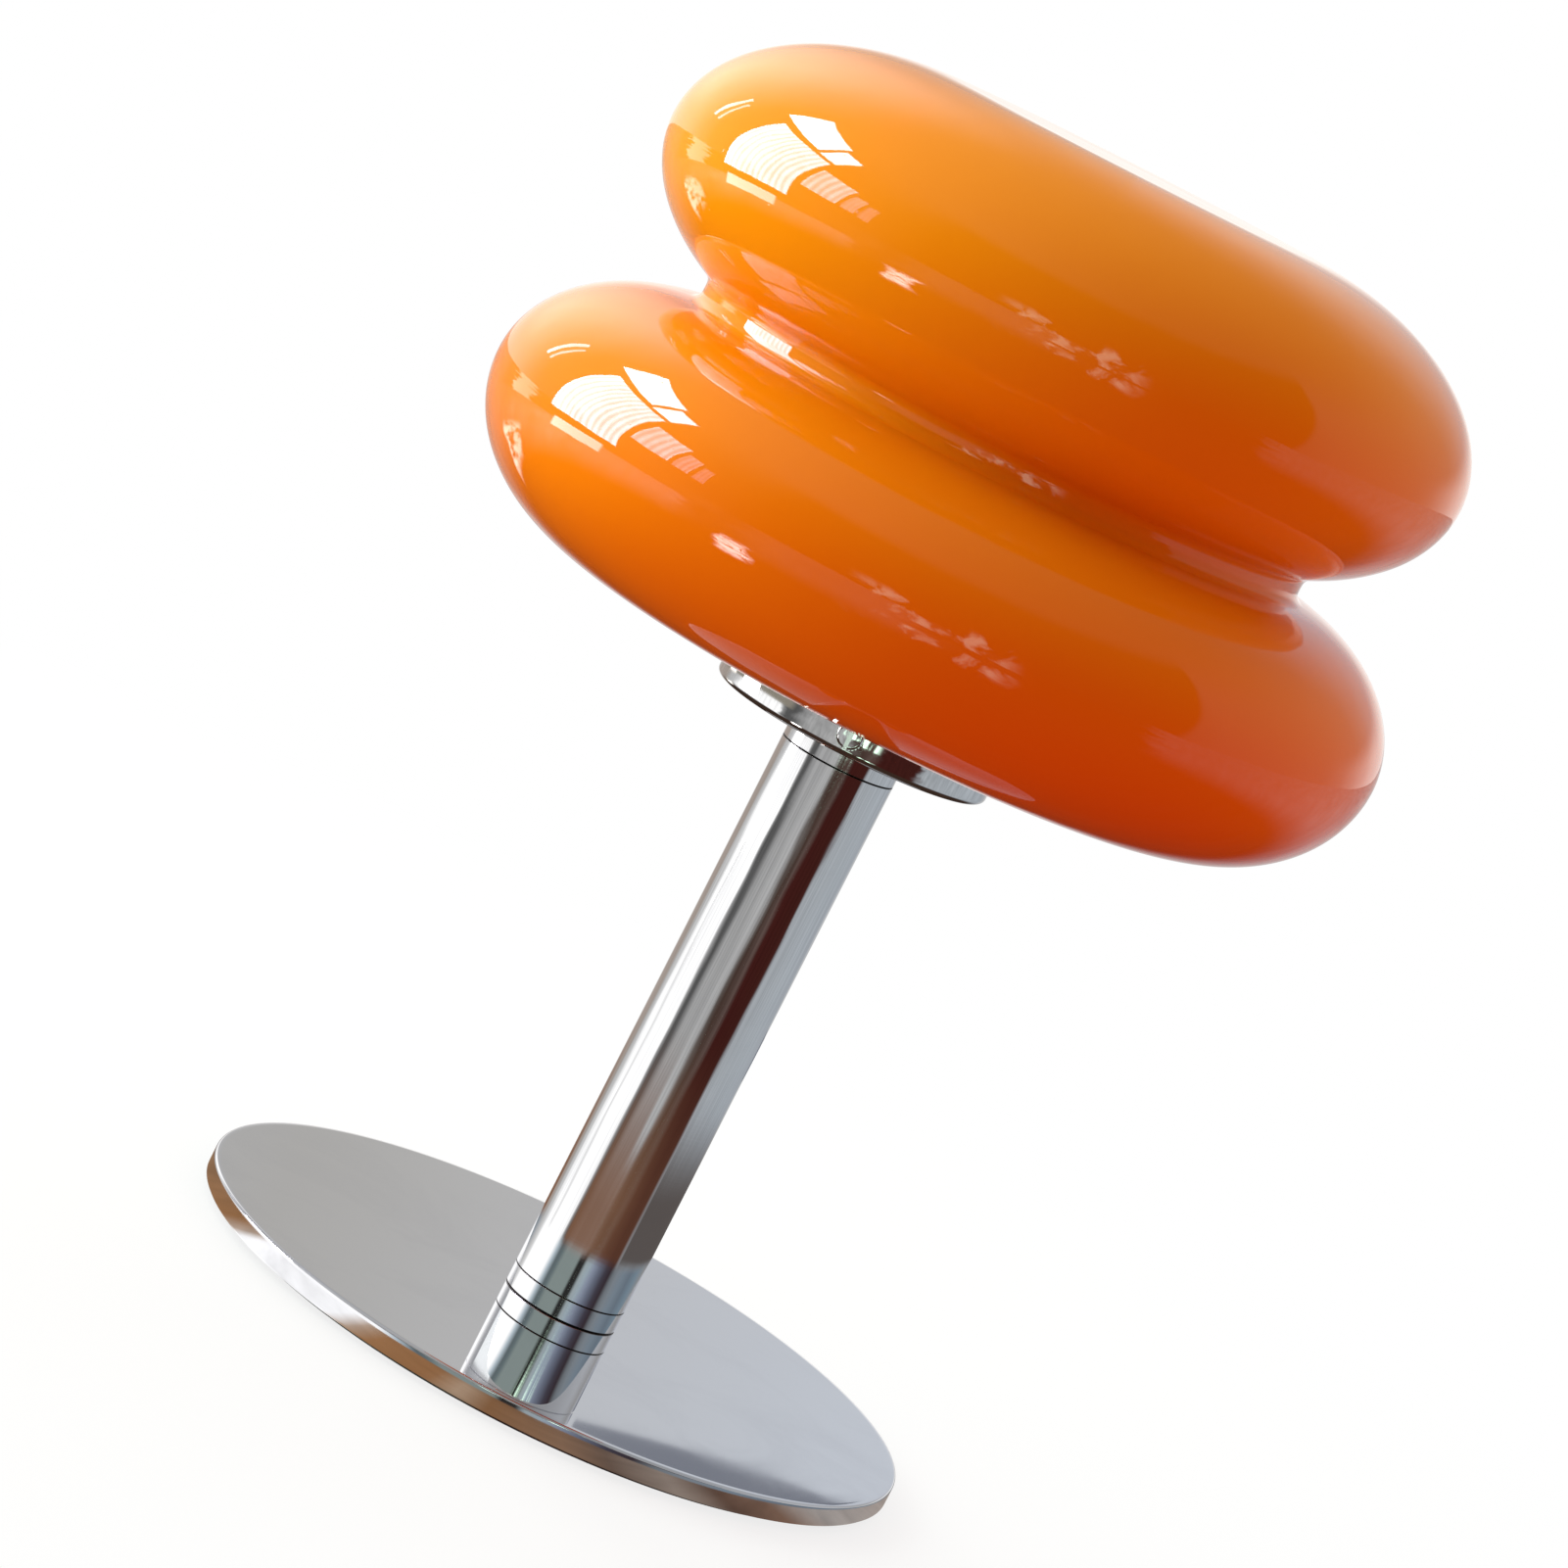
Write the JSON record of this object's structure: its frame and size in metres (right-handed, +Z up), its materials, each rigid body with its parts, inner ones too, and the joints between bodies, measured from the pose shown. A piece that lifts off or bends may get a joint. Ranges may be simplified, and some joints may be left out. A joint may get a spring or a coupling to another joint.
{
  "type": "bedside table lamp",
  "caption": "Bedside table lamp with a waisted orange glass shade on a chromed stem that stands at the edge of a round chromed base plate.",
  "frame": {"origin": "centre of the pad's underside, where the lamp stands on the table", "axes": "+Z up, -Y towards the front, where the stem stands at the edge of the base, +X to the right seen from the front"},
  "size_m": [0.2136, 0.2713, 0.31],
  "materials": {
    "base_chrome": "polished",
    "stem_chrome": "polished",
    "gallery_chrome": "polished",
    "shade_glass": "glossy cased glass, opaque orange",
    "pad_rubber": "matt foam rubber",
    "grommet_rubber": "matt",
    "gasket_rubber": "translucent silicone",
    "plated_steel": "zinc plated",
    "holder_plastic": "moulded",
    "holder_brass": "bare",
    "bulb_glass": "opal white",
    "bulb_metal": "satin",
    "bulb_insulator": "black glass"
  },
  "bodies": {
    "stand": {"base_plate": "base_chrome", "foot_tube": "stem_chrome", "foot_insert": "stem_chrome", "stem_insert": "stem_chrome", "stem_tube": "stem_chrome", "top_insert": "stem_chrome", "gallery": "gallery_chrome", "base_pad": "pad_rubber", "cord_grommet": "grommet_rubber", "gasket": "gasket_rubber", "base_screws": "plated_steel", "foot_flange": "plated_steel", "joint_nipple": "plated_steel", "top_nipple": "plated_steel", "gallery_washer": "plated_steel", "gallery_nut": "plated_steel", "holder_cap": "holder_plastic", "holder_body": "holder_plastic", "holder_shell": "holder_brass", "holder_contact": "holder_brass"},
    "shade": {"glass_neck": "shade_glass", "glass_shoulder": "shade_glass", "glass_lower_lobe": "shade_glass", "glass_upper_lobe": "shade_glass", "glass_crown": "shade_glass"},
    "bulb": {"bulb_globe": "bulb_glass", "bulb_cap": "bulb_metal", "bulb_insulator": "bulb_insulator", "bulb_tip": "bulb_metal"},
    "screw_1": {"holding_screw_1": "gallery_chrome"},
    "screw_2": {"holding_screw_2": "gallery_chrome"},
    "screw_3": {"holding_screw_3": "gallery_chrome"}
  },
  "joints": [
    {"name": "shade_lift", "type": "slide", "parent": "stand", "child": "shade", "axis": [0, 0, 1], "range_m": [0, 0.11]},
    {"name": "bulb_turn", "type": "hinge", "parent": "stand", "child": "bulb", "pos_m": [0, -0.0745, 0.205], "axis": [0, 0, 1], "range_deg": [0, 1080]},
    {"name": "screw_1_out", "type": "slide", "parent": "stand", "child": "screw_1", "axis": [0, -1, 0], "range_m": [0, 0.003]},
    {"name": "screw_2_out", "type": "slide", "parent": "stand", "child": "screw_2", "axis": [0.866, 0.5, 0], "range_m": [0, 0.003]},
    {"name": "screw_3_out", "type": "slide", "parent": "stand", "child": "screw_3", "axis": [-0.866, 0.5, 0], "range_m": [0, 0.003]}
  ]
}
